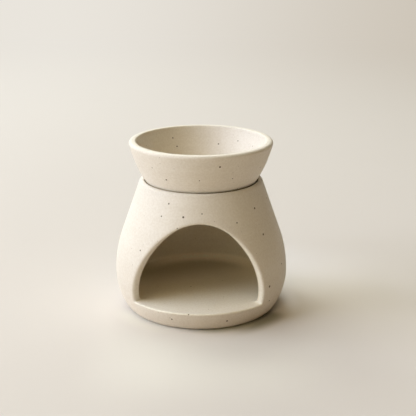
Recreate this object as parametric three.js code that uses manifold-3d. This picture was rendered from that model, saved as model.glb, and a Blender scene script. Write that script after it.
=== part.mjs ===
// Wax melt burner: a pot-bellied stoneware body with an arched mouth, and a loose flared dish
// that stands on a seat inside the neck. Millimetres and degrees, +Z up, mouth facing -Y.
// The origin is on the table, under the middle of the foot.
import * as THREE from 'three';
import { mergeVertices } from 'three/addons/utils/BufferGeometryUtils.js';
import Module from 'manifold-3d';

// Body, outside
const bellyRadius = 50;
const bellyHeight = 21.5;
const footInset = 7.1;
const footEdge = 1.8;
const shoulderCurve = 68;
const flankLean = 19.5;
const bodyHeight = 75.7;

// Body, inside
const bodyWall = 4.3;
const floorHeight = 11.8;
const floorCove = 2.5;
const footRingWidth = 7;
const footHollow = 5.5;
const footHollowRound = 2.5;

// Arched mouth: a half ellipse wrapped round the wall, standing on the floor
const mouthSpan = 95.6;
const mouthCrown = 5;

// Neck and the seat of the dish
const lipWidth = 2.4;
const lipOuterRound = 2;
const lipInnerRound = 0.4;
const seatDepth = 6;
const seatThickness = 4.5;
const seatOverlap = 4.7;
const seatCove = 1;
const underSeatCove = 3;
const heatHoleRound = 0.8;

// Dish
const neckGap = 0.4;
const seatGap = 0.3;
const dishFlare = 8.7;
const dishRise = 22.6;
const dishWall = 4.2;
const dishWallCurve = 75;
const rimOuterRound = 1.6;
const rimInnerRound = 0.7;
const dishFloor = 5;
const dishFootRound = 1.6;
const bowlCove = 12;

// Fineness of the facets, and the distance within which corners are one point
const turnSteps = 72;
const longSteps = 5;
const shortSteps = 3;
const mouthSteps = 30;
const weld = 1e-4;

const clay = { color: 0xe4dac8, roughness: 0.85, metalness: 0 };

const level = -Math.PI / 2;
const upright = Math.PI / 2;
const lean = THREE.MathUtils.degToRad(flankLean);

function point(radius, height) {
  return new THREE.Vector2(radius, height);
}

// Points along an arc of a section, from one angle to another.
function arc(centre, radius, from, to, steps) {
  return Array.from({ length: steps + 1 }, (_, i) => {
    const angle = from + ((to - from) * i) / steps;
    return point(centre.x + radius * Math.cos(angle), centre.y + radius * Math.sin(angle));
  });
}

// A straight corner of a section, rounded to a radius.
function roundCorner(before, corner, after, radius) {
  const a = before.clone().sub(corner).normalize();
  const b = after.clone().sub(corner).normalize();
  const half = Math.acos(a.dot(b)) / 2;
  const middle = a.clone().add(b).normalize().multiplyScalar(radius / Math.sin(half)).add(corner);
  const start = a.multiplyScalar(radius / Math.tan(half)).add(corner).sub(middle).angle();
  const end = b.multiplyScalar(radius / Math.tan(half)).add(corner).sub(middle).angle();
  const turn = Math.atan2(Math.sin(end - start), Math.cos(end - start));
  return arc(middle, radius, start, start + turn, shortSteps);
}

// The edge between a level face and the inside of a large arc above it, as a small arc that touches both.
function levelEdge(large, largeRadius, height, radius) {
  const rise = height + radius - large.y;
  const reach = Math.sqrt((largeRadius - radius) ** 2 - rise ** 2);
  const centre = point(large.x + reach, height + radius);
  return { centre, radius, angle: Math.atan2(rise, reach) };
}

// The edge between a level rim and the outside of a large arc below it, as a small arc that touches both.
function rimEdge(large, largeRadius, height, radius) {
  const rise = height - radius - large.y;
  const reach = Math.sqrt((largeRadius + radius) ** 2 - rise ** 2);
  const centre = point(large.x + reach, height - radius);
  return { centre, radius, angle: Math.atan2(rise, reach) };
}

// The centre of a circle, given its distances from two points, on the axis side of them.
function centreFrom(low, lowDistance, high, highDistance) {
  const along = high.clone().sub(low);
  const length = along.length();
  along.normalize();
  const run = (lowDistance ** 2 - highDistance ** 2 + length ** 2) / (2 * length);
  const side = Math.sqrt(lowDistance ** 2 - run ** 2);
  return point(low.x + along.x * run - along.y * side, low.y + along.y * run + along.x * side);
}

// Body section: the curve under the belly, the curve of the shoulder and the straight flank
const underRadius = (bellyHeight ** 2 + footInset ** 2) / (2 * footInset);
const underCentre = point(bellyRadius - underRadius, bellyHeight);
const shoulderCentre = point(bellyRadius - shoulderCurve, bellyHeight);

// Radius of the straight flank at a height, a given depth inside the outer face.
function flankRadius(height, depth) {
  const curve = shoulderCurve - depth;
  const topOfCurve = shoulderCentre.y + curve * Math.sin(lean);
  return shoulderCentre.x + curve * Math.cos(lean) - (height - topOfCurve) * Math.tan(lean);
}

const seatHeight = bodyHeight - seatDepth;
const underSeat = seatHeight - seatThickness;
const lipOutside = flankRadius(bodyHeight, 0);
const neckRadius = lipOutside - lipWidth;

// Dish section: the wall is one long curve through the neck and up to the outer edge of the rim
const dishFoot = seatHeight + seatGap;
const dishNeck = point(neckRadius - neckGap, bodyHeight);
const rimTop = bodyHeight + dishRise;
const rimOuter = point(dishNeck.x + dishFlare - rimOuterRound, rimTop - rimOuterRound);
const dishCentre = centreFrom(dishNeck, dishWallCurve, rimOuter, dishWallCurve - rimOuterRound);
const dishFootEdge = levelEdge(dishCentre, dishWallCurve, dishFoot, dishFootRound);
const heatHole = dishFootEdge.centre.x - seatOverlap;

function bodySection() {
  const foot = levelEdge(underCentre, underRadius, 0, footEdge);
  const cove = levelEdge(underCentre, underRadius - bodyWall, floorHeight, floorCove);
  const ringInside = foot.centre.x - footRingWidth;
  const hollowMiddle = point(0, footHollow);
  const hollowCorner = point(ringInside, footHollow);
  const ringCorner = point(ringInside, 0);
  const lipOuter = point(lipOutside, bodyHeight);
  const lipInner = point(neckRadius, bodyHeight);
  const seatOuter = point(neckRadius, seatHeight);
  const holeTop = point(heatHole, seatHeight);
  const holeBottom = point(heatHole, underSeat);
  const underSeatOuter = point(flankRadius(underSeat, bodyWall), underSeat);
  const flankFoot = point(flankRadius(bellyHeight, 0), bellyHeight);
  const flankFootInside = point(flankRadius(bellyHeight, bodyWall), bellyHeight);
  return [
    hollowMiddle,
    ...roundCorner(hollowMiddle, hollowCorner, ringCorner, footHollowRound),
    ringCorner,
    ...arc(foot.centre, foot.radius, level, foot.angle, shortSteps),
    ...arc(underCentre, underRadius, foot.angle, 0, longSteps).slice(1),
    ...arc(shoulderCentre, shoulderCurve, 0, lean, longSteps).slice(1),
    ...roundCorner(flankFoot, lipOuter, lipInner, lipOuterRound),
    ...roundCorner(lipOuter, lipInner, seatOuter, lipInnerRound),
    ...roundCorner(lipInner, seatOuter, holeTop, seatCove),
    ...roundCorner(seatOuter, holeTop, holeBottom, heatHoleRound),
    ...roundCorner(holeTop, holeBottom, underSeatOuter, heatHoleRound),
    ...roundCorner(holeBottom, underSeatOuter, flankFootInside, underSeatCove),
    ...arc(shoulderCentre, shoulderCurve - bodyWall, lean, 0, longSteps),
    ...arc(underCentre, underRadius - bodyWall, 0, cove.angle, shortSteps).slice(1),
    ...arc(cove.centre, cove.radius, cove.angle, level, shortSteps).slice(1),
    point(0, floorHeight),
  ];
}

function dishSection() {
  const inside = dishWallCurve - dishWall;
  const rimAngle = Math.atan2(rimOuter.y - dishCentre.y, rimOuter.x - dishCentre.x);
  const rimInner = rimEdge(dishCentre, inside, rimTop, rimInnerRound);
  const cove = levelEdge(dishCentre, inside, dishFoot + dishFloor, bowlCove);
  return [
    point(0, dishFoot),
    ...arc(dishFootEdge.centre, dishFootEdge.radius, level, dishFootEdge.angle, shortSteps),
    ...arc(dishCentre, dishWallCurve, dishFootEdge.angle, rimAngle, longSteps).slice(1),
    ...arc(rimOuter, rimOuterRound, rimAngle, upright, shortSteps).slice(1),
    ...arc(rimInner.centre, rimInner.radius, upright, rimInner.angle + Math.PI, shortSteps),
    ...arc(dishCentre, inside, rimInner.angle, cove.angle, longSteps).slice(1),
    ...arc(cove.centre, cove.radius, cove.angle, level, longSteps).slice(1),
    point(0, dishFoot + dishFloor),
  ];
}

function turned(section) {
  return new THREE.LatheGeometry(section, turnSteps).rotateX(Math.PI / 2);
}

// The mouth is cut square to the wall, so its cutter narrows towards the axis at every height.
function mouthCutter() {
  const halfSpan = THREE.MathUtils.degToRad(mouthSpan / 2);
  const rise = underSeat - mouthCrown - floorHeight;
  const outline = Array.from({ length: mouthSteps + 1 }, (_, i) => {
    const angle = (Math.PI * i) / mouthSteps;
    return point(Math.tan(halfSpan * Math.cos(angle)), floorHeight + rise * Math.sin(angle));
  });
  const cutter = new THREE.ExtrudeGeometry(new THREE.Shape(outline), { depth: 1, bevelEnabled: false });
  const near = (bellyRadius / 2) * Math.cos(halfSpan);
  const far = bellyRadius + bodyWall;
  const corner = cutter.attributes.position;
  for (let i = 0; i < corner.count; i += 1) {
    const depth = near + (far - near) * corner.getZ(i);
    corner.setXYZ(i, corner.getX(i) * depth, -depth, corner.getY(i));
  }
  return cutter;
}

const wasm = await Module();
wasm.setup();

// A closed geometry as a solid that can be cut, without the triangles that close up on the axis.
function solidOf(geometry) {
  geometry.deleteAttribute('normal');
  geometry.deleteAttribute('uv');
  const merged = mergeVertices(geometry, weld);
  const index = merged.index.array;
  const triangles = [];
  for (let i = 0; i < index.length; i += 3) {
    const [a, b, c] = index.slice(i, i + 3);
    if (a !== b && b !== c && c !== a) {
      triangles.push(a, b, c);
    }
  }
  const vertProperties = merged.attributes.position.array;
  const triVerts = Uint32Array.from(triangles);
  return new wasm.Manifold(new wasm.Mesh({ numProp: 3, vertProperties, triVerts }));
}

function geometryOf(solid) {
  const mesh = solid.getMesh();
  const geometry = new THREE.BufferGeometry();
  geometry.setAttribute('position', new THREE.BufferAttribute(mesh.vertProperties, 3));
  geometry.setIndex(new THREE.BufferAttribute(mesh.triVerts, 1));
  geometry.computeVertexNormals();
  return geometry;
}

function piece(name, geometry) {
  const mesh = new THREE.Mesh(geometry, new THREE.MeshStandardMaterial(clay));
  mesh.name = name;
  return mesh;
}

const body = solidOf(turned(bodySection())).subtract(solidOf(mouthCutter()));

const burner = new THREE.Group();
burner.add(piece('burner_body', geometryOf(body)));
burner.add(piece('wax_dish', turned(dishSection())));

export default burner;
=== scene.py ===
import math
from functools import partial

import bpy
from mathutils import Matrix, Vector


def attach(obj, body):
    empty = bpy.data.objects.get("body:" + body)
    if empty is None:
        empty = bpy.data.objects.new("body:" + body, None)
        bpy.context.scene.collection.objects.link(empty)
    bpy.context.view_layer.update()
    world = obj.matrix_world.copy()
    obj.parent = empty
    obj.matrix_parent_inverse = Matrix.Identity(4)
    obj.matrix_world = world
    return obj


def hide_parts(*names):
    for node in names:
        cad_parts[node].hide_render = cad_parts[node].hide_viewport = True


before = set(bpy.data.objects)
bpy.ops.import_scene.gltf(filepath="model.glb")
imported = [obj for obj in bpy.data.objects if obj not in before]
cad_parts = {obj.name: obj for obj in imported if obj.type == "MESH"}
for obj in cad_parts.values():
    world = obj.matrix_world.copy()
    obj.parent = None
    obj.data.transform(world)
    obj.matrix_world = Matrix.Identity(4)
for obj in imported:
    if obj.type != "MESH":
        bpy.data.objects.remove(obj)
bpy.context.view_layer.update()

# Viewpoint: a long lens a little above the dish and a little to the right of the mouth's middle,
# far enough back that the belly keeps its true outline. The burner sits just left of the middle.
image_side = 416
focal_pixels = 925
view_azimuth = math.radians(3.3)
view_elevation = math.radians(18.0)
view_distance = 0.5388
looked_at = Vector((0.0, 0.0, 0.05))
aim_right = 0.0040
aim_up = 0.0071

towards_viewer = Vector((
    math.sin(view_azimuth) * math.cos(view_elevation),
    -math.cos(view_azimuth) * math.cos(view_elevation),
    math.sin(view_elevation),
))
view_right = Vector((math.cos(view_azimuth), math.sin(view_azimuth), 0.0))
view_up = towards_viewer.cross(view_right)
viewer = bpy.data.objects.new("viewer", bpy.data.cameras.new("viewer"))
viewer.data.sensor_width = 36.0
viewer.data.lens = viewer.data.sensor_width * focal_pixels / image_side
viewer.location = looked_at + view_distance * towards_viewer
aim_point = looked_at + aim_right * view_right + aim_up * view_up
viewer.rotation_euler = (aim_point - viewer.location).to_track_quat("-Z", "Y").to_euler()
bpy.context.scene.collection.objects.link(viewer)
bpy.context.scene.camera = viewer

# Studio: a pale paper sweep, level under the burner and curving up behind it.
# Two soft lamps stand in for windows at the left and behind it, and two weak warm ones fill the front
# and the top.
bpy.context.scene.view_settings.view_transform = "Standard"
sweep_half_width = 9.0
sweep_front = -9.0
sweep_bend_start = 2.0
sweep_bend_radius = 1.2
sweep_height = 3.0
sweep_bend_steps = 24
sweep_drop = 0.0001
paper_colour = (0.68, 0.653, 0.646)
paper_shade = (0.67, 0.643, 0.636)
paper_fibre_scale = 9.0
paper_bounce = (0.715, 0.617, 0.512)
lamp_distance = 2.0
lamp_width = 1.7
room_colour = (1.0, 0.86, 0.68)
room_strength = 0.01

# Painted light and painted shadow lie on the paper in soft patches round the burner: painted light in
# front, to the right and at the left of the foot, painted shadow close to the foot at its front and right
# front.
# Each side of a patch says where the patch starts and where it is full: metres to the right, to the back
# or from the axis, or radians round the foot, from the front to the right.
front_painted_light = (0.82, 0.808, 0.785)
front_on_left = (-0.065, -0.01)
front_on_right = (0.09, 0.03)
front_near = (-0.14, -0.08)
front_far = (-0.02, -0.07)
right_painted_light = (0.865, 0.86, 0.905)
right_on_left = (0.02, 0.05)
right_on_right = (0.17, 0.05)
right_near = (-0.01, 0.045)
right_far = (0.115, 0.035)
right_foot_out = (0.061, 0.051)
right_foot_start = (1.15, 1.5)
right_foot_end = (2.4, 1.7)
foot_painted_shadow = (0.35, 0.345, 0.31)
foot_out = (0.057, 0.047)
foot_start = (0.35, 0.75)
foot_end = (1.3, 1.1)
left_painted_light = (0.785, 0.777, 0.735)
left_out = (0.057, 0.044)
left_start = (-1.35, -0.95)
left_end = (-0.1, -0.5)
touch_painted_shadow = (0.55, 0.54, 0.47)
touch_out = (0.050, 0.044)
touch_start = (-0.25, 0.35)
touch_end = (0.9, 0.6)

# Far from the burner the camera sees the paper glow with painted light, going evenly from brighter on the
# left to darker on the right, in a fan that spreads from a point in front of the burner.
far_left = (0.82, 0.783, 0.72)
far_right = (0.605, 0.55, 0.47)
far_spread = (-0.22, 0.26)
far_stand_back = 0.55
far_least_depth = 0.35
even_from = 0.25
even_to = 1.3


def join(tree, socket, value):
    """Puts a plain value, or another node's output, on a socket."""
    if isinstance(value, bpy.types.NodeSocket):
        tree.links.new(value, socket)
    else:
        socket.default_value = value


def add(tree, kind, inputs=None, outlet=0, **settings):
    """A node with its settings and inputs, by name or number; gives the outlet asked for."""
    made = tree.nodes.new(kind)
    for name, setting in settings.items():
        setattr(made, name, setting)
    for name, value in (inputs or {}).items():
        join(tree, made.inputs[name], value)
    return made.outputs[outlet]


def tree_math(tree, operation, *values):
    """One step of arithmetic in a tree."""
    return add(tree, "ShaderNodeMath", dict(enumerate(values)), operation=operation)


def tree_product(tree, *shares):
    """Several shares multiplied together."""
    whole = shares[0]
    for share in shares[1:]:
        whole = tree_math(tree, "MULTIPLY", whole, share)
    return whole


def tree_ease(tree, value, low, high, at_low=0.0, at_high=1.0):
    """Goes smoothly from one figure to another as a value goes from low to high."""
    return add(tree, "ShaderNodeMapRange", {
        "Value": value,
        "From Min": low,
        "From Max": high,
        "To Min": at_low,
        "To Max": at_high,
    }, interpolation_type="SMOOTHSTEP")


def tree_blend(tree, factor, first, second, manner="MIX"):
    """The first colour where the factor is 0, and where it is 1 the second, or both multiplied."""
    return add(tree, "ShaderNodeMix", {
        "Factor": factor,
        "A": first,
        "B": second,
    }, outlet="Result", data_type="RGBA", blend_type=manner)


def tree_parts(tree, place):
    """The three parts of a place: to the right, to the back and up."""
    split = tree.nodes.new("ShaderNodeSeparateXYZ")
    join(tree, split.inputs[0], place)
    return split.outputs


def new_material(name):
    """A material with an empty node tree, and the surface socket of its output."""
    material = bpy.data.materials.new(name)
    material.use_nodes = True
    material.node_tree.nodes.clear()
    output = material.node_tree.nodes.new("ShaderNodeOutputMaterial")
    return material, material.node_tree, output.inputs["Surface"]


sweep_path = [(sweep_front, 0.0)]
for step in range(sweep_bend_steps + 1):
    turn = 0.5 * math.pi * step / sweep_bend_steps
    sweep_path.append((
        sweep_bend_start + sweep_bend_radius * math.sin(turn),
        sweep_bend_radius * (1.0 - math.cos(turn)),
    ))
sweep_path.append((sweep_bend_start + sweep_bend_radius, sweep_height))
sweep_points = []
sweep_faces = []
for number, (back, height) in enumerate(sweep_path):
    for side in (-1.0, 1.0):
        sweep_points.append((side * sweep_half_width, back, height - sweep_drop))
    if number:
        near = 2 * number - 2
        sweep_faces.append((near, near + 1, near + 3, near + 2))
paper_mesh = bpy.data.meshes.new("paper_sweep")
paper_mesh.from_pydata(sweep_points, [], sweep_faces)
paper_mesh.shade_smooth()
paper_sweep = bpy.data.objects.new("paper_sweep", paper_mesh)
bpy.context.scene.collection.objects.link(paper_sweep)

paper, paper_tree, paper_surface = new_material("matte_paper")
paper_math = partial(tree_math, paper_tree)
paper_ease = partial(tree_ease, paper_tree)
paper_blend = partial(tree_blend, paper_tree)
paper_place = add(paper_tree, "ShaderNodeTexCoord", outlet="Object")
paper_east, paper_north = tree_parts(paper_tree, paper_place)[:2]
paper_fibre = add(paper_tree, "ShaderNodeTexNoise", {
    "Vector": paper_place,
    "Scale": paper_fibre_scale,
    "Detail": 4.0,
})
paper_and_painted_light = paper_blend(paper_fibre, (*paper_colour, 1.0), (*paper_shade, 1.0))
far_off = add(
    paper_tree, "ShaderNodeVectorMath", {0: paper_place}, outlet="Value", operation="LENGTH"
)
round_foot = paper_math("ARCTAN2", paper_east, paper_math("MULTIPLY", paper_north, -1.0))
# The patches blend their painted light and painted shadow into the paper's tone.
for tone, *sides in (
    (
        front_painted_light, (paper_east, front_on_left), (paper_east, front_on_right),
        (paper_north, front_near), (paper_north, front_far),
    ),
    (
        right_painted_light, (paper_east, right_on_left), (paper_east, right_on_right),
        (paper_north, right_near), (paper_north, right_far),
    ),
    (
        right_painted_light, (far_off, right_foot_out),
        (round_foot, right_foot_start), (round_foot, right_foot_end),
    ),
    (foot_painted_shadow, (far_off, foot_out), (round_foot, foot_start), (round_foot, foot_end)),
    (left_painted_light, (far_off, left_out), (round_foot, left_start), (round_foot, left_end)),
    (touch_painted_shadow, (far_off, touch_out), (round_foot, touch_start), (round_foot, touch_end)),
):
    patch = tree_product(paper_tree, *(paper_ease(along, *side) for along, side in sides))
    paper_and_painted_light = paper_blend(patch, paper_and_painted_light, (*tone, 1.0))

# The camera and the gloss see the paper's tone with its painted light and shadow, and the burner is lit
# by a warmer bounce from it.
rays = paper_tree.nodes.new("ShaderNodeLightPath").outputs
seen = rays["Is Camera Ray"]
for mirrored in ("Is Glossy Ray", "Is Transmission Ray"):
    seen = paper_math("MAXIMUM", seen, rays[mirrored])
paper_and_painted_light = paper_blend(seen, (*paper_bounce, 1.0), paper_and_painted_light)
far_depth = paper_math("MAXIMUM", paper_math("ADD", paper_north, far_stand_back), far_least_depth)
far_across = paper_math("DIVIDE", paper_east, far_depth)
# Painted light: the far paper glows brighter on the left than on the right.
far_painted_glow = paper_blend(paper_ease(far_across, *far_spread), (*far_left, 1.0), (*far_right, 1.0))
far_share = paper_math("MULTIPLY", seen, paper_ease(far_off, even_from, even_to))
paper_finish = add(paper_tree, "ShaderNodeMixShader", {
    0: far_share,
    1: add(paper_tree, "ShaderNodeBsdfDiffuse", {"Color": paper_and_painted_light}),
    2: add(paper_tree, "ShaderNodeEmission", {"Color": far_painted_glow, "Strength": 1.0}),
})
join(paper_tree, paper_surface, paper_finish)
paper_mesh.materials.append(paper)


def soft_lamp(name, azimuth, elevation, watts, colour):
    """A square soft lamp that faces the burner; azimuth runs from the front to the right."""
    lamp = bpy.data.objects.new(name, bpy.data.lights.new(name, "AREA"))
    lamp.data.shape = "SQUARE"
    lamp.data.size = lamp_width
    lamp.data.energy = watts
    lamp.data.color = colour
    azimuth = math.radians(azimuth)
    elevation = math.radians(elevation)
    lamp.location = looked_at + lamp_distance * Vector((
        math.sin(azimuth) * math.cos(elevation),
        -math.cos(azimuth) * math.cos(elevation),
        math.sin(elevation),
    ))
    lamp.rotation_euler = (looked_at - lamp.location).to_track_quat("-Z", "Y").to_euler()
    bpy.context.scene.collection.objects.link(lamp)


soft_lamp("window_lamp", azimuth=-78.0, elevation=30.0, watts=37.8, colour=(0.84, 0.891, 1.0))
soft_lamp("back_window_lamp", azimuth=-150.0, elevation=48.0, watts=33.5, colour=(0.98, 1.0, 0.89))
soft_lamp("low_fill_lamp", azimuth=-40.0, elevation=12.0, watts=8.5, colour=(1.0, 0.94, 0.66))
soft_lamp("top_fill_lamp", azimuth=5.0, elevation=67.0, watts=12.5, colour=(1.0, 0.77, 0.43))
room = bpy.data.worlds.new("room_light")
room.use_nodes = True
room_inputs = room.node_tree.nodes["Background"].inputs
room_inputs["Color"].default_value = (*room_colour, 1.0)
room_inputs["Strength"].default_value = room_strength
bpy.context.scene.world = room

# Burner body: a pot-bellied stoneware pot, thrown on the wheel and left matte cream.
# The arched mouth was cut through the soft wall and its edges sponged round. The neck holds a seat
# with a hole for the heat, and the foot is a ring with a shallow hollow inside.
mm = 0.001
belly_radius = 50 * mm
belly_height = 21.5 * mm
foot_inset = 7.1 * mm
foot_edge = 1.8 * mm
shoulder_curve = 68 * mm
flank_lean = math.radians(19.5)
body_height = 75.7 * mm
body_wall = 4.3 * mm
floor_height = 11.8 * mm
floor_cove = 2.5 * mm
mouth_cove = 0.7 * mm
foot_ring_width = 7 * mm
foot_hollow = 5.5 * mm
foot_hollow_round = 2.5 * mm
foot_ring_edge = 0.6 * mm
mouth_half_span = math.radians(47.5)
mouth_lean = math.radians(2.6)
mouth_crown = 5.1 * mm
mouth_edge = 1.7 * mm
mouth_inner_edge = 0.4 * mm
ledge_edge = 0.8 * mm
edge_change = 2 * mm
lip_width = 2.4 * mm
lip_round = 2.0 * mm
lip_inner_round = 0.4 * mm
seat_depth = 6.0 * mm
seat_thickness = 4.5 * mm
seat_cove = 1.0 * mm
under_seat_cove = 3.0 * mm
heat_hole = 22.8 * mm
heat_hole_round = 0.8 * mm
body_cell = 0.5 * mm
body_kept_share = 0.35
body_margin = 1.5 * mm
blend_reach = 1.76
lean_blend_reach = 1.1
settling_rounds = 2
least_mouth_share = 0.05
least_mouth_radius = 10 * mm

under_curve = (belly_height ** 2 + foot_inset ** 2) / (2 * foot_inset)
seat_height = body_height - seat_depth
under_seat = seat_height - seat_thickness
lip_outside = (
    belly_radius - shoulder_curve + shoulder_curve / math.cos(flank_lean)
    - (body_height - belly_height) * math.tan(flank_lean)
)
neck_radius = lip_outside - lip_width
foot_flat = belly_radius - under_curve + math.sqrt(
    (under_curve - foot_edge) ** 2 - (belly_height - foot_edge) ** 2
)

body_tree = bpy.data.node_groups.new("thrown_body", "GeometryNodeTree")
body_sizes = {}
body_inlet = body_tree.nodes.new("NodeGroupInput")


def body_size(name, value):
    """A named size of the body's tree, with the value that its modifier gives it."""
    socket = body_tree.interface.new_socket(name, in_out="INPUT", socket_type="NodeSocketFloat")
    body_sizes[socket.identifier] = value
    return body_inlet.outputs[socket.identifier]


def tree_slant(tree, across, along):
    """The straight length of two steps at right angles."""
    squares = [tree_math(tree, "MULTIPLY", step, step) for step in (across, along)]
    return tree_math(tree, "SQRT", tree_math(tree, "ADD", *squares))


reckon = partial(tree_math, body_tree)
less = partial(tree_math, body_tree, "SUBTRACT")
times = partial(tree_math, body_tree, "MULTIPLY")
slant = partial(tree_slant, body_tree)
rising = partial(tree_ease, body_tree)


def outside_of(hollow):
    return times(hollow, -1.0)


def either(is_first, first, second):
    return add(body_tree, "ShaderNodeMix", {0: is_first, 2: second, 3: first}, data_type="FLOAT")


def kept_in_both(first, second, edge):
    """What lies inside two shapes, with the edge where they meet rounded."""
    return reckon("SMOOTH_MAX", first, second, edge)


def kept_in_either(first, second, edge):
    """What lies inside one shape or the other, with the edge where they meet rounded."""
    return reckon("SMOOTH_MIN", first, second, edge)


def body_edge(name, radius, reach=blend_reach):
    """A named rounding, as the distance over which two faces run into each other."""
    return times(body_size(name, radius), reach)


def edge_between(nearness, first, second):
    """A rounding that goes over from one size to another where two faces change places."""
    return rising(nearness, -edge_change, edge_change, first, second)


# Each shape below is a distance: how far a place is outside the shape, or inside it when negative.
place = add(body_tree, "GeometryNodeInputPosition")
east, north, height = tree_parts(body_tree, place)
from_axis = slant(east, north)

belly = body_size("Belly radius", belly_radius)
under = body_size("Curve under the belly", under_curve)
shoulder = body_size("Curve of the shoulder", shoulder_curve)
lean = body_size("Flank lean", flank_lean)
over_belly = less(height, body_size("Belly height", belly_height))
past_under = less(from_axis, less(belly, under))
past_shoulder = less(from_axis, less(belly, shoulder))
lean_cosine = reckon("COSINE", lean)
lean_sine = reckon("SINE", lean)
under_skin = less(slant(past_under, over_belly), under)
shoulder_skin = less(slant(past_shoulder, over_belly), shoulder)
flank_skin = less(
    reckon("ADD", times(past_shoulder, lean_cosine), times(over_belly, lean_sine)), shoulder
)
on_flank = reckon("GREATER_THAN", times(over_belly, lean_cosine), times(past_shoulder, lean_sine))
over_widest = reckon("GREATER_THAN", over_belly, 0.0)
skin = either(over_widest, either(on_flank, flank_skin, shoulder_skin), under_skin)

lump = kept_in_both(skin, outside_of(height), body_edge("Foot edge", foot_edge))
over_top = less(height, body_size("Body height", body_height))
lump = kept_in_both(lump, over_top, body_edge("Lip round", lip_round, lean_blend_reach))
ring_hollow = kept_in_both(
    less(from_axis, body_size("Foot ring inside", foot_flat - foot_ring_width)),
    less(height, body_size("Foot hollow", foot_hollow)),
    body_edge("Foot hollow round", foot_hollow_round),
)
lump = kept_in_both(lump, outside_of(ring_hollow), body_edge("Foot ring edge", foot_ring_edge))

floor = body_size("Floor height", floor_height)
span = body_size("Mouth half span", mouth_half_span)
rise = body_size("Mouth rise", under_seat - mouth_crown - floor_height)
round_wall = reckon("ARCTAN2", east, outside_of(north))
mouth_along = reckon("DIVIDE", less(height, floor), rise)
leaning = times(body_size("Mouth lean", mouth_lean), mouth_along)
mouth_across = reckon("DIVIDE", less(round_wall, leaning), span)
# The least share and the least radius keep the sums sound at the mouth's middle and on the axis.
mouth_share = reckon("MAXIMUM", slant(mouth_across, mouth_along), least_mouth_share)
mouth_radius = reckon("MAXIMUM", from_axis, least_mouth_radius)
across_slope = reckon("DIVIDE", mouth_across, times(mouth_radius, span))
along_slope = reckon("DIVIDE", mouth_along, rise)
mouth_slope = reckon("DIVIDE", slant(across_slope, along_slope), mouth_share)
mouth = reckon("DIVIDE", less(mouth_share, 1.0), mouth_slope)

chamber = kept_in_both(
    reckon("ADD", skin, body_size("Wall", body_wall)),
    less(height, body_size("Seat underside", under_seat)),
    body_edge("Cove under the seat", under_seat_cove),
)
open_space = kept_in_either(chamber, mouth, body_edge("Mouth inner edge", mouth_inner_edge))
under_floor = less(floor, height)
cove = edge_between(
    less(chamber, mouth), body_edge("Floor cove", floor_cove), body_edge("Mouth cove", mouth_cove)
)
hollow = kept_in_both(open_space, under_floor, cove)
heat_way = reckon(
    "MAXIMUM",
    less(from_axis, body_size("Heat hole", heat_hole)),
    less(body_size("Heat hole start", 0.5 * body_height), height),
)
hollow = kept_in_either(hollow, heat_way, body_edge("Heat hole round", heat_hole_round))
opening_edge = edge_between(
    less(under_floor, mouth), body_edge("Mouth edge", mouth_edge), body_edge("Ledge edge", ledge_edge)
)
pot = kept_in_both(lump, outside_of(hollow), opening_edge)
neck = kept_in_both(
    less(from_axis, body_size("Neck radius", neck_radius)),
    less(body_size("Seat height", seat_height), height),
    body_edge("Seat cove", seat_cove),
)
pot = kept_in_both(pot, outside_of(neck), body_edge("Lip inner round", lip_inner_round))

reach = belly_radius + body_margin
cells_across = round(2 * reach / body_cell)
cells_up = round((body_height + 2 * body_margin) / body_cell)
clay_block = add(body_tree, "GeometryNodeVolumeCube", {
    "Density": outside_of(pot),
    "Background": -1.0,
    "Min": (-reach, -reach, -body_margin),
    "Max": (reach, reach, body_height + body_margin),
    "Resolution X": cells_across,
    "Resolution Y": cells_across,
    "Resolution Z": cells_up,
})
pot_mesh = add(body_tree, "GeometryNodeVolumeToMesh", {"Volume": clay_block, "Threshold": 0.0})

# The cells of the block give a rough skin, so its points are settled on the true one.
outwards = add(body_tree, "GeometryNodeInputNormal")
for settling in range(settling_rounds):
    settle = add(body_tree, "ShaderNodeVectorMath", {
        0: outwards,
        "Scale": outside_of(pot),
    }, operation="SCALE")
    pot_mesh = add(body_tree, "GeometryNodeSetPosition", {"Geometry": pot_mesh, "Offset": settle})
pot_mesh = add(body_tree, "GeometryNodeSetShadeSmooth", {"Geometry": pot_mesh})


def with_marks(tree, shape, marks):
    """A shape on which the share of each named face is stored at every point, for the clay to read."""
    for name, share in marks.items():
        shape = add(tree, "GeometryNodeStoreNamedAttribute", {
            "Geometry": shape,
            "Name": name,
            "Value": share,
        }, data_type="FLOAT", domain="POINT")
    return add(tree, "GeometryNodeRealizeInstances", {"Geometry": shape})


# The faces that take painted light and shade, the flame's browning and the seam's dust are marked. Each
# pair says where a mark starts and where it is full.
floor_from_above = (-1.5 * mm, -0.3 * mm)
floor_from_below = (1.2 * mm, 0.5 * mm)
floor_rim = (1.0 * mm, 0.0)
chamber_skin = (1.5 * mm, 0.0)
cut_depth = (0.2 * mm, 1.2 * mm)
cut_top = (62 * mm, 58 * mm)
seam_side = (neck_radius + 0.5 * mm, neck_radius)
seam_dust_and_shade_rise = (body_height - 1.8 * mm, body_height - 0.8 * mm)
in_wall = reckon("MINIMUM", outside_of(skin), chamber)
pot_mesh = with_marks(body_tree, pot_mesh, {
    "floor_face": tree_product(
        body_tree,
        rising(under_floor, *floor_from_above),
        rising(under_floor, *floor_from_below),
        rising(open_space, *floor_rim),
    ),
    "chamber_face": rising(reckon("MAXIMUM", chamber, under_floor), *chamber_skin),
    "cut_face": times(rising(in_wall, *cut_depth), rising(height, *cut_top)),
    "seam": times(rising(from_axis, *seam_side), rising(height, *seam_dust_and_shade_rise)),
})
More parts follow.
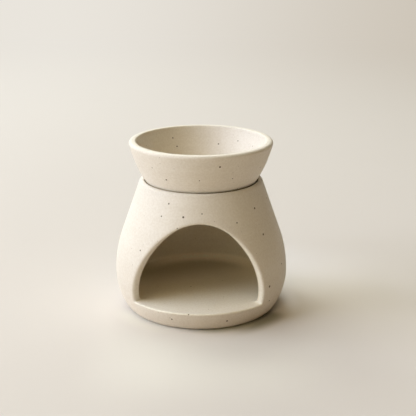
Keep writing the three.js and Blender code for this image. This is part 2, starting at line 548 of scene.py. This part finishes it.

# The clay: warm cream, faintly cloudy and grainy, with dark iron specks all through it. Painted light
# makes the front of the floor and the cut faces paler, the flame has browned the chamber, painted shade
# darkens the rear of its floor but for the corner, which has a painted highlight, painted shade darkens
# the bowl, most on the left, and the seam round the dish holds dust and painted shade.
clay_light = (0.815, 0.783, 0.735)
clay_deep = (0.735, 0.692, 0.632)
painted_light_tint = (1.22, 1.25, 1.23)
speck_colour = (0.085, 0.055, 0.032)
heat_tint = (1.03, 0.975, 0.85)
floor_painted_shade_tint = (0.64, 0.64, 0.58)
corner_painted_highlight_tint = (1.3, 1.3, 1.34)
seam_dust_and_shade_tint = (1.02, 0.90, 0.66)
seam_painted_shade_tint = (0.33, 0.26, 0.16)
bowl_left_painted_shade_tint = (0.925, 0.89, 0.80)
bowl_painted_shade_tint = (0.97, 0.962, 0.975)
cloud_scale = 38.0
cloud_weight = 0.5
streak_pitch = 2.6 * mm
streak_stretch = 0.06
streak_weight = 0.3
grain_pitch = 1.1 * mm
cream_span = (0.55, 1.25)
speck_spacing = 9 * mm
speck_radius = 0.4 * mm
pepper_spacing = 3.9 * mm
pepper_radius = 0.26 * mm
pepper_strength = 0.6
smallest_grain = 0.35
grain_edge = (0.6, 1.1)
no_grain = 9.0
relief_strength = 0.25
relief_depth = 0.15 * mm
rough_grain = (0.3, 0.7)
clay_roughness = (0.48, 0.60)

# Where the painted light and shade start and where they are full: to the right, to the back, up or out
# from the axis.
floor_slant = -0.4
painted_light_floor = (2 * mm, -36 * mm)
painted_light_cut = (0.0, 30 * mm)
painted_light_cut_share = (0.4, 0.8)
floor_painted_shade_back = (0.0, 30 * mm)
floor_painted_shade_right = (42 * mm, 8 * mm)
corner_out = (31 * mm, 42 * mm)
corner_up = (14.8 * mm, 12.4 * mm)
corner_back = (0.35, 1.0)
seam_shade_right = (-40 * mm, 25 * mm)
bowl_shade_left = (15 * mm, -25 * mm)


def speckled_stoneware(name, pattern_shift, placed_specks):
    """Matte cream stoneware with iron specks: the shift gives each pot its own grain, and each
    placed speck is a grain with its centre and its radius."""
    material, tree, surface = new_material(name)
    figure = partial(tree_math, tree)
    product = partial(tree_product, tree)
    ease = partial(tree_ease, tree)
    blend = partial(tree_blend, tree)

    def mark(face):
        return add(tree, "ShaderNodeAttribute", attribute_name=face, outlet="Fac")

    def cut_grain(share):
        """How dark a grain shows, from the distance to its centre over its radius."""
        return ease(share, *grain_edge, 1.0, 0.0)

    def grains(spacing, radius):
        """Where grains of a size are cut by the surface, from 0 to 1."""
        cell = tree.nodes.new("ShaderNodeTexVoronoi")
        join(tree, cell.inputs["Vector"], clay_place)
        join(tree, cell.inputs["Scale"], 1.0 / spacing)
        luck = add(tree, "ShaderNodeSeparateColor", {"Color": cell.outputs["Color"]})
        size = ease(luck, 0.0, 1.0, smallest_grain * radius / spacing, radius / spacing)
        return cut_grain(figure("DIVIDE", cell.outputs["Distance"], size))

    object_place = add(tree, "ShaderNodeTexCoord", outlet="Object")
    clay_place = add(tree, "ShaderNodeMapping", {"Vector": object_place, "Location": pattern_shift})
    clouds = add(tree, "ShaderNodeTexNoise", {
        "Vector": clay_place,
        "Scale": cloud_scale,
        "Detail": 3.0,
    })
    ring_place = add(tree, "ShaderNodeVectorMath", {
        0: clay_place,
        1: (streak_stretch / streak_pitch, streak_stretch / streak_pitch, 1.0 / streak_pitch),
    }, operation="MULTIPLY")
    streaks = add(tree, "ShaderNodeTexNoise", {"Vector": ring_place, "Scale": 1.0, "Detail": 2.0})
    grain = add(tree, "ShaderNodeTexNoise", {
        "Vector": clay_place,
        "Scale": 1.0 / grain_pitch,
        "Detail": 3.0,
    })
    tone = figure("MULTIPLY_ADD", streaks, streak_weight, grain)
    tone = figure("MULTIPLY_ADD", clouds, cloud_weight, tone)
    cream = blend(ease(tone, *cream_span), (*clay_light, 1.0), (*clay_deep, 1.0))

    across, back, up = tree_parts(tree, object_place)
    from_axis = tree_slant(tree, across, back)
    slanting = figure("MULTIPLY_ADD", across, floor_slant, back)
    floor_face = mark("floor_face")
    # Painted light: the front of the floor, and the cut faces, more on the right, are made paler.
    front_floor = product(floor_face, ease(slanting, *painted_light_floor))
    painted_light_cuts = product(mark("cut_face"), ease(across, *painted_light_cut, *painted_light_cut_share))
    # A painted highlight along the chamber's rear corner, where the floor meets the wall.
    corner_painted_highlight = product(
        ease(from_axis, *corner_out),
        ease(up, *corner_up),
        ease(figure("DIVIDE", back, from_axis), *corner_back),
        mark("chamber_face"),
    )
    # Painted shade on the rear of the chamber floor, less towards the right and none in the corner.
    floor_painted_shade = product(
        ease(slanting, *floor_painted_shade_back),
        ease(across, *floor_painted_shade_right),
        floor_face,
        figure("SUBTRACT", 1.0, corner_painted_highlight),
    )
    for share, tint in (
        (figure("MAXIMUM", front_floor, painted_light_cuts), painted_light_tint),
        (product(mark("chamber_face"), figure("SUBTRACT", 1.0, front_floor)), heat_tint),
        (floor_painted_shade, floor_painted_shade_tint),
        (corner_painted_highlight, corner_painted_highlight_tint),
        # The seam holds dust and painted shade, with more painted shade towards the right.
        (mark("seam"), seam_dust_and_shade_tint),
        (product(mark("seam"), ease(across, *seam_shade_right)), seam_painted_shade_tint),
    ):
        cream = blend(share, cream, (*tint, 1.0), "MULTIPLY")
    # Painted shade inside the bowl, darkest on the left.
    bowl_painted_shade = blend(ease(across, *bowl_shade_left), (*bowl_painted_shade_tint, 1.0), (*bowl_left_painted_shade_tint, 1.0))
    cream = blend(mark("bowl_face"), cream, bowl_painted_shade, "MULTIPLY")
    pepper = product(grains(pepper_spacing, pepper_radius), pepper_strength)
    cream = blend(pepper, cream, (*speck_colour, 1.0))
    cream = blend(grains(speck_spacing, speck_radius), cream, (*speck_colour, 1.0))
    nearest = no_grain
    for centre, radius in placed_specks:
        apart = add(tree, "ShaderNodeVectorMath", {
            0: object_place,
            1: centre,
        }, outlet="Value", operation="DISTANCE")
        nearest = figure("MINIMUM", nearest, figure("DIVIDE", apart, radius))
    cream = blend(cut_grain(nearest), cream, (*speck_colour, 1.0))

    relief = add(tree, "ShaderNodeBump", {
        "Height": figure("ADD", streaks, grain),
        "Strength": relief_strength,
        "Distance": relief_depth,
    })
    finish = add(tree, "ShaderNodeBsdfPrincipled", {
        "Base Color": cream,
        "Roughness": ease(grain, *rough_grain, *clay_roughness),
        "Specular IOR Level": 0.5,
        "Normal": relief,
    })
    join(tree, surface, finish)
    return material


def on_skin(azimuth, radius, height):
    """A place at a distance from the axis; azimuth runs from the front to the right."""
    azimuth = math.radians(azimuth)
    return Vector((radius * math.sin(azimuth), -radius * math.cos(azimuth), height))


def body_radius(height):
    """The outside of the body at a height."""
    over = height - belly_height
    if over <= 0.0:
        return belly_radius - under_curve + math.sqrt(under_curve ** 2 - over ** 2)
    if over <= shoulder_curve * math.sin(flank_lean):
        return belly_radius - shoulder_curve + math.sqrt(shoulder_curve ** 2 - over ** 2)
    return lip_outside + (body_height - height) * math.tan(flank_lean)


# The larger specks of the body: degrees round from the front, millimetres up, millimetres in radius.
body_specks = [
    (-25, 70, 0.5), (-30, 63, 0.45), (-11, 64, 0.65), (4, 66, 0.4), (53, 65, 0.65), (32, 60, 0.45),
    (55, 50.5, 0.65), (-43, 43, 0.5), (53, 21.5, 0.75), (-15, 58, 0.4), (55, 12, 0.5), (71, 30, 0.5),
    (80, 66, 0.45), (-5, 11.5, 0.5), (-17, 7, 0.55), (21, 6, 0.65), (110, 40, 0.6), (135, 58, 0.5),
    (160, 25, 0.7), (-170, 48, 0.55), (-140, 66, 0.5), (-115, 30, 0.65), (-90, 52, 0.45), (-155, 12, 0.5),
]
body_clay = speckled_stoneware("body_speckled_stoneware", (0.013, 0.021, 0.008), [
    (on_skin(azimuth, body_radius(up * mm), up * mm), radius * mm) for azimuth, up, radius in body_specks
])


def made_by_tree(name, start, tree, outcome, sizes, clay, kept_share=1.0):
    """Runs a shape tree on a starting mesh and gives its result as a plain object of its own.
    A kept share below one thins out the faces where the surface is nearly flat."""
    tree.interface.new_socket("Geometry", in_out="OUTPUT", socket_type="NodeSocketGeometry")
    finished = add(tree, "GeometryNodeSetMaterial", {"Geometry": outcome, "Material": clay})
    join(tree, tree.nodes.new("NodeGroupOutput").inputs[0], finished)
    maker = bpy.data.objects.new(name + "_maker", start)
    bpy.context.scene.collection.objects.link(maker)
    shaper = maker.modifiers.new("shape", "NODES")
    shaper.node_group = tree
    for identifier, value in sizes.items():
        shaper[identifier] = value
    if kept_share < 1.0:
        maker.modifiers.new("thinning", "DECIMATE").ratio = kept_share
    evaluated = maker.evaluated_get(bpy.context.evaluated_depsgraph_get())
    mesh = bpy.data.meshes.new_from_object(evaluated)
    mesh.name = name
    bpy.data.objects.remove(maker)
    made = bpy.data.objects.new(name, mesh)
    bpy.context.scene.collection.objects.link(made)
    return made


body_start = bpy.data.meshes.new("body_start")
body = made_by_tree(
    "stoneware_body", body_start, body_tree, pot_mesh, body_sizes, body_clay, body_kept_share
)
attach(body, "body")
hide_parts("burner_body")

# Wax dish: a loose flared bowl of the same stoneware, turned in one piece with a rounded rim.
# It stands on the seat in the neck by its flat foot, and lifts straight off to be cleaned.
neck_gap = 0.4 * mm
seat_gap = 0.3 * mm
dish_flare = 8.7 * mm
dish_rise = 22.6 * mm
dish_wall = 4.2 * mm
rim_outer_round = 1.6 * mm
rim_inner_round = 0.7 * mm
dish_wall_curve = 75 * mm
dish_floor = 5 * mm
dish_foot_round = 1.6 * mm
bowl_cove = 12 * mm
dish_turn_steps = 288
dish_section_steps = 190
arc_steps = 24
weld_distance = 1e-6


def arc(centre, radius, start, stop):
    """Points along an arc of a section, radius from the axis first and height second."""
    points = []
    for step in range(arc_steps + 1):
        turn = start + (stop - start) * step / arc_steps
        points.append((centre[0] + radius * math.cos(turn), centre[1] + radius * math.sin(turn)))
    return points


def level_edge(large, large_radius, level, radius):
    """The arc that rounds a level face into the inside of a large arc above it."""
    up = level + radius - large[1]
    out = math.sqrt((large_radius - radius) ** 2 - up ** 2)
    return (large[0] + out, level + radius), math.atan2(up, out)


def rim_edge(large, large_radius, top, radius):
    """The arc that rounds a level rim into the outside of a large arc below it."""
    up = top - radius - large[1]
    out = math.sqrt((large_radius + radius) ** 2 - up ** 2)
    return (large[0] + out, top - radius), math.atan2(up, out)


dish_foot = seat_height + seat_gap
bowl_bottom = dish_foot + dish_floor
rim_top = body_height + dish_rise
dish_at_neck = Vector((neck_radius - neck_gap, body_height))
rim_outer = Vector((dish_at_neck.x + dish_flare - rim_outer_round, rim_top - rim_outer_round))
rim_curve = dish_wall_curve - rim_outer_round
chord = rim_outer - dish_at_neck
run = (dish_wall_curve ** 2 - rim_curve ** 2 + chord.length_squared) / (2 * chord.length)
offset = math.sqrt(dish_wall_curve ** 2 - run ** 2)
chord.normalize()
dish_centre = dish_at_neck + run * chord + offset * Vector((-chord.y, chord.x))
rim_angle = math.atan2(rim_outer.y - dish_centre.y, rim_outer.x - dish_centre.x)
inner_curve = dish_wall_curve - dish_wall
rim_inner, rim_inner_angle = rim_edge(dish_centre, inner_curve, rim_top, rim_inner_round)
straight_down = -0.5 * math.pi
straight_up = 0.5 * math.pi
foot_centre, foot_angle = level_edge(dish_centre, dish_wall_curve, dish_foot, dish_foot_round)
cove_centre, cove_angle = level_edge(dish_centre, inner_curve, bowl_bottom, bowl_cove)
dish_section = (
    [(0.0, dish_foot)]
    + arc(foot_centre, dish_foot_round, straight_down, foot_angle)
    + arc(dish_centre, dish_wall_curve, foot_angle, rim_angle)[1:]
    + arc(rim_outer, rim_outer_round, rim_angle, straight_up)[1:]
    + arc(rim_inner, rim_inner_round, straight_up, rim_inner_angle + math.pi)
    + arc(dish_centre, inner_curve, rim_inner_angle, cove_angle)[1:]
    + arc(cove_centre, bowl_cove, cove_angle, straight_down)[1:]
    + [(0.0, bowl_bottom)]
)
section_mesh = bpy.data.meshes.new("dish_section")
section_mesh.from_pydata(
    [(radius, 0.0, level) for radius, level in dish_section],
    [(number, number + 1) for number in range(len(dish_section) - 1)],
    [],
)

dish_tree = bpy.data.node_groups.new("turned_dish", "GeometryNodeTree")
dish_sizes = {}
section_socket = dish_tree.interface.new_socket(
    "Section", in_out="INPUT", socket_type="NodeSocketGeometry"
)
turn_socket = dish_tree.interface.new_socket(
    "Turn steps", in_out="INPUT", socket_type="NodeSocketInt"
)
step_socket = dish_tree.interface.new_socket(
    "Section steps", in_out="INPUT", socket_type="NodeSocketInt"
)
dish_sizes[turn_socket.identifier] = dish_turn_steps
dish_sizes[step_socket.identifier] = dish_section_steps
dish_inlet = dish_tree.nodes.new("NodeGroupInput")
section_line = add(dish_tree, "GeometryNodeMeshToCurve", {
    "Mesh": dish_inlet.outputs[section_socket.identifier],
})
net = add(dish_tree, "GeometryNodeMeshGrid", {
    "Size X": 1.0,
    "Size Y": 1.0,
    "Vertices X": dish_inlet.outputs[turn_socket.identifier],
    "Vertices Y": dish_inlet.outputs[step_socket.identifier],
})
net_across, net_along = tree_parts(dish_tree, add(dish_tree, "GeometryNodeInputPosition"))[:2]
dish_math = partial(tree_math, dish_tree)
round_turn = dish_math("MULTIPLY", net_across, 2 * math.pi)
along_section = dish_math("ADD", net_along, 0.5)
section_point = add(dish_tree, "GeometryNodeSampleCurve", {
    "Curves": section_line,
    "Factor": along_section,
}, outlet="Position", use_all_curves=True)
turned_point = add(dish_tree, "ShaderNodeVectorRotate", {
    "Vector": section_point,
    "Angle": round_turn,
}, rotation_type="Z_AXIS")
dish_mesh = add(dish_tree, "GeometryNodeSetPosition", {"Geometry": net, "Position": turned_point})
dish_mesh = add(dish_tree, "GeometryNodeMergeByDistance", {
    "Geometry": dish_mesh,
    "Distance": weld_distance,
})
dish_mesh = add(dish_tree, "GeometryNodeSetShadeSmooth", {"Geometry": dish_mesh})

# Two faces are marked for the clay, as on the body: the seam under the lip, for its dust and painted
# shade, and the inside of the bowl, for its painted shade.
seam_skin = (neck_radius - 2.5 * mm, neck_radius - 1.5 * mm)
seam_top = (body_height + 0.3 * mm, body_height - 0.3 * mm)
bowl_skin = (inner_curve + 0.8 * mm, inner_curve + 0.2 * mm)
bowl_base = (bowl_bottom - 1.0 * mm, bowl_bottom - 0.3 * mm)
dish_rising = partial(tree_ease, dish_tree)
turned_x, turned_y, turned_z = tree_parts(dish_tree, add(dish_tree, "GeometryNodeInputPosition"))
dish_from_axis = tree_slant(dish_tree, turned_x, turned_y)
from_centre = tree_slant(
    dish_tree,
    dish_math("SUBTRACT", dish_from_axis, dish_centre.x),
    dish_math("SUBTRACT", turned_z, dish_centre.y),
)
dish_mesh = with_marks(dish_tree, dish_mesh, {
    "seam": tree_product(
        dish_tree,
        dish_rising(turned_z, *seam_top),
        dish_rising(turned_z, *seam_dust_and_shade_rise),
        dish_rising(dish_from_axis, *seam_skin),
    ),
    "bowl_face": tree_product(
        dish_tree,
        dish_rising(from_centre, *bowl_skin),
        dish_rising(turned_z, *bowl_base),
    ),
})


def dish_radius(curve, height):
    """One face of the dish's wall at a height, from the radius of its curve."""
    return dish_centre.x + math.sqrt(curve ** 2 - (height - dish_centre.y) ** 2)


# The larger specks of the dish, outside and inside, as for the body.
outer_specks = [
    (-28, 83, 0.55), (18, 92, 0.6), (-40, 89, 0.35), (2, 84, 0.35), (31, 84, 0.35), (100, 86, 0.5),
    (150, 93, 0.45), (-160, 84, 0.55), (-100, 91, 0.45),
]
inner_specks = [
    (-148, 92, 0.45), (-151, 87, 0.5), (165, 88, 0.45), (144, 91, 0.4), (20, 88, 0.45), (-70, 91, 0.45),
]
dish_specks = []
for curve, specks in ((dish_wall_curve, outer_specks), (inner_curve, inner_specks)):
    for azimuth, up, radius in specks:
        dish_specks.append((on_skin(azimuth, dish_radius(curve, up * mm), up * mm), radius * mm))
dish_clay = speckled_stoneware("dish_speckled_stoneware", (0.047, 0.009, 0.031), dish_specks)
dish = made_by_tree("stoneware_dish", section_mesh, dish_tree, dish_mesh, dish_sizes, dish_clay)
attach(dish, "dish")
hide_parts("wax_dish")
